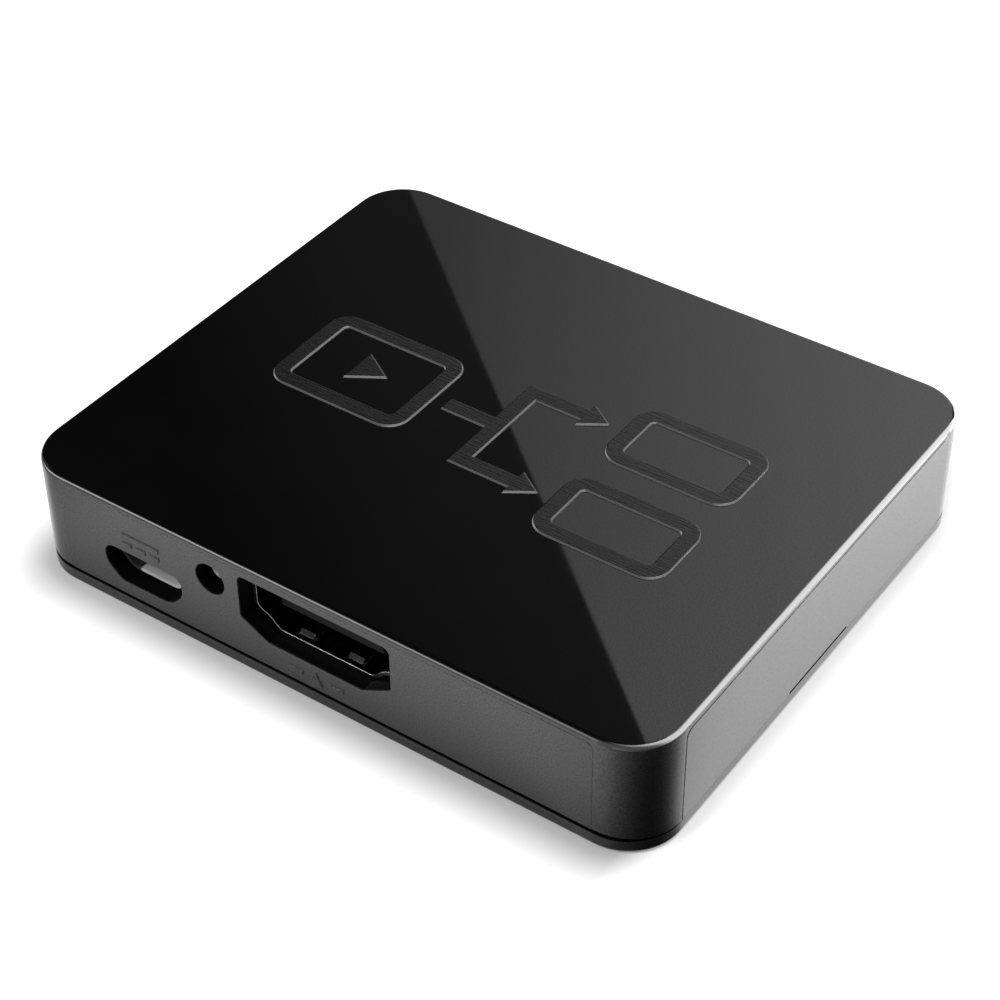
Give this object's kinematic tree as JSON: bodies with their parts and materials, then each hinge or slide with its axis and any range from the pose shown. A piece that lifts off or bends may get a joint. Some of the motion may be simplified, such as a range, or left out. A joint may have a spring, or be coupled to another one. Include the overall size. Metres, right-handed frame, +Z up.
{
  "type": "video splitter",
  "caption": "Flat black box with rounded corners that copies one video input to two outputs, with a small power socket and an indicator beside the input.",
  "frame": {"origin": "centre of the underside, on the surface that the box stands on", "axes": "+X along the width of the input face to its right, +Y from the input face to the output face, +Z up"},
  "size_m": [0.066, 0.0552, 0.0122],
  "materials": {
    "case_plastic": "fine satin texture",
    "board_laminate": "solder mask",
    "zinc_steel": "zinc plated",
    "socket_metal": "nickel plated sheet",
    "socket_plastic": "moulded",
    "contact_gold": "gold flash",
    "clear_lens": "clear resin",
    "tinned_wire": "bright tin",
    "chip_resin": "moulded resin",
    "ferrite": "sintered",
    "can_metal": "drawn can",
    "ceramic": "fired ceramic"
  },
  "bodies": {
    "root": {"top_cover": "case_plastic", "bottom_cover": "case_plastic", "circuit_board": "board_laminate", "board_screws": "zinc_steel", "video_in_shell": "socket_metal", "video_in_insulator": "socket_plastic", "video_in_contacts": "contact_gold", "video_out_a_shell": "socket_metal", "video_out_a_insulator": "socket_plastic", "video_out_a_contacts": "contact_gold", "video_out_b_shell": "socket_metal", "video_out_b_insulator": "socket_plastic", "video_out_b_contacts": "contact_gold", "power_socket_shell": "socket_metal", "power_socket_insulator": "socket_plastic", "power_socket_contacts": "contact_gold", "status_led": "clear_lens", "led_leads": "tinned_wire", "splitter_chip": "chip_resin", "splitter_chip_leads": "tinned_wire", "memory_chip": "chip_resin", "memory_chip_leads": "tinned_wire", "regulator": "chip_resin", "regulator_leads": "tinned_wire", "converter_chip": "chip_resin", "converter_leads": "tinned_wire", "power_inductor": "ferrite", "inductor_ends": "tinned_wire", "crystal_can": "can_metal", "crystal_base": "socket_plastic", "crystal_leads": "tinned_wire", "bulk_capacitor_cans": "can_metal", "bulk_capacitor_bases": "socket_plastic", "ceramic_capacitors": "ceramic", "chip_resistors": "chip_resin", "chip_terminals": "tinned_wire", "surge_arrays": "chip_resin"}
  },
  "joints": []
}
